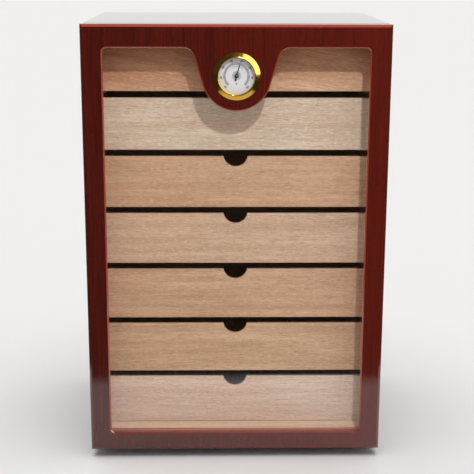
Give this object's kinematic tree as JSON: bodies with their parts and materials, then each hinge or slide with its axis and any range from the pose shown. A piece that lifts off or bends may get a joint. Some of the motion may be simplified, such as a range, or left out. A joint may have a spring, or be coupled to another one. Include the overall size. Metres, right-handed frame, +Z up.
{
  "type": "cigar humidor cabinet",
  "caption": "Upright cigar humidor: glossy mahogany case and hinged glass door with a round hygrometer, over cedar drawers with finger notches.",
  "frame": {"origin": "on the floor under the middle of the humidor, between its feet", "axes": "+Z up, the door faces -Y, +X to the right as seen from in front of the door"},
  "size_m": [0.3578, 0.2844, 0.53],
  "materials": {
    "mahogany": "high-gloss lacquer over red-brown mahogany veneer",
    "cedar": "bare Spanish cedar",
    "pane": "clear polished glass",
    "polished_brass": "polished brass",
    "steel": "plain steel",
    "nickel": "nickel plate",
    "dial_paint": "satin silver-white paint with a grey scale",
    "black_paint": "satin black paint",
    "black_plastic": "matt black plastic",
    "foam": "open green foam",
    "foot_rubber": "matt black rubber",
    "seal_rubber": "soft dark rubber"
  },
  "bodies": {
    "cabinet": {"case_side_left": "mahogany", "case_side_right": "mahogany", "case_top": "mahogany", "case_base": "mahogany", "case_back": "mahogany", "lining_left": "cedar", "lining_right": "cedar", "lining_top": "cedar", "lining_floor": "cedar", "lining_back": "cedar", "drawer_runners": "cedar", "feet": "foot_rubber", "door_seal": "seal_rubber", "hinge_case_leaves": "polished_brass", "hinge_pins": "steel", "hinge_case_screws": "polished_brass", "catch_magnets": "nickel"},
    "door": {"door_frame": "mahogany", "door_glass": "pane", "glass_beads": "mahogany", "hinge_door_leaves": "polished_brass", "hinge_door_screws": "polished_brass", "strike_plates": "steel", "hygrometer_bezel": "polished_brass", "hygrometer_lens": "pane", "hygrometer_case": "polished_brass", "hygrometer_dial": "dial_paint", "hygrometer_movement": "steel"},
    "needle": {"hygrometer_needle": "black_paint"},
    "drawer_1": {"drawer_1_front": "cedar", "drawer_1_sides": "cedar", "drawer_1_back": "cedar", "drawer_1_bottom": "cedar"},
    "drawer_2": {"drawer_2_front": "cedar", "drawer_2_sides": "cedar", "drawer_2_back": "cedar", "drawer_2_bottom": "cedar"},
    "drawer_3": {"drawer_3_front": "cedar", "drawer_3_sides": "cedar", "drawer_3_back": "cedar", "drawer_3_bottom": "cedar"},
    "drawer_4": {"drawer_4_front": "cedar", "drawer_4_sides": "cedar", "drawer_4_back": "cedar", "drawer_4_bottom": "cedar"},
    "drawer_5": {"drawer_5_front": "cedar", "drawer_5_sides": "cedar", "drawer_5_back": "cedar", "drawer_5_bottom": "cedar"},
    "drawer_6": {"drawer_6_front": "cedar", "drawer_6_sides": "cedar", "drawer_6_back": "cedar", "drawer_6_bottom": "cedar"},
    "drawer_7": {"drawer_7_front": "cedar", "drawer_7_sides": "cedar", "drawer_7_back": "cedar", "drawer_7_bottom": "cedar", "humidifier_tray": "black_plastic", "humidifier_foam": "foam", "humidifier_cover": "black_plastic"}
  },
  "joints": [
    {"name": "door_hinge", "type": "hinge", "parent": "cabinet", "child": "door", "pos_m": [-0.1783, -0.121, 0.27], "axis": [0, 0, -1], "range_deg": [0, 180]},
    {"name": "drawer_1_slide", "type": "slide", "parent": "cabinet", "child": "drawer_1", "axis": [0, -1, 0], "range_m": [0, 0.16]},
    {"name": "drawer_2_slide", "type": "slide", "parent": "cabinet", "child": "drawer_2", "axis": [0, -1, 0], "range_m": [0, 0.16]},
    {"name": "drawer_3_slide", "type": "slide", "parent": "cabinet", "child": "drawer_3", "axis": [0, -1, 0], "range_m": [0, 0.16]},
    {"name": "drawer_4_slide", "type": "slide", "parent": "cabinet", "child": "drawer_4", "axis": [0, -1, 0], "range_m": [0, 0.16]},
    {"name": "drawer_5_slide", "type": "slide", "parent": "cabinet", "child": "drawer_5", "axis": [0, -1, 0], "range_m": [0, 0.16]},
    {"name": "drawer_6_slide", "type": "slide", "parent": "cabinet", "child": "drawer_6", "axis": [0, -1, 0], "range_m": [0, 0.16]},
    {"name": "drawer_7_slide", "type": "slide", "parent": "cabinet", "child": "drawer_7", "axis": [0, -1, 0], "range_m": [0, 0.16]},
    {"name": "needle_turn", "type": "hinge", "parent": "door", "child": "needle", "pos_m": [0, -0.1366, 0.4715], "axis": [0, 1, 0], "range_deg": [-150.6, 119.4]}
  ],
  "couplings": [
    {"joint": "drawer_1_slide", "follows": "door_hinge", "m_per_rad": 0.048},
    {"joint": "drawer_2_slide", "follows": "door_hinge", "m_per_rad": 0.0445},
    {"joint": "drawer_3_slide", "follows": "door_hinge", "m_per_rad": 0.041},
    {"joint": "drawer_4_slide", "follows": "door_hinge", "m_per_rad": 0.0375},
    {"joint": "drawer_5_slide", "follows": "door_hinge", "m_per_rad": 0.034},
    {"joint": "drawer_6_slide", "follows": "door_hinge", "m_per_rad": 0.0305},
    {"joint": "drawer_7_slide", "follows": "door_hinge", "m_per_rad": 0.027}
  ]
}
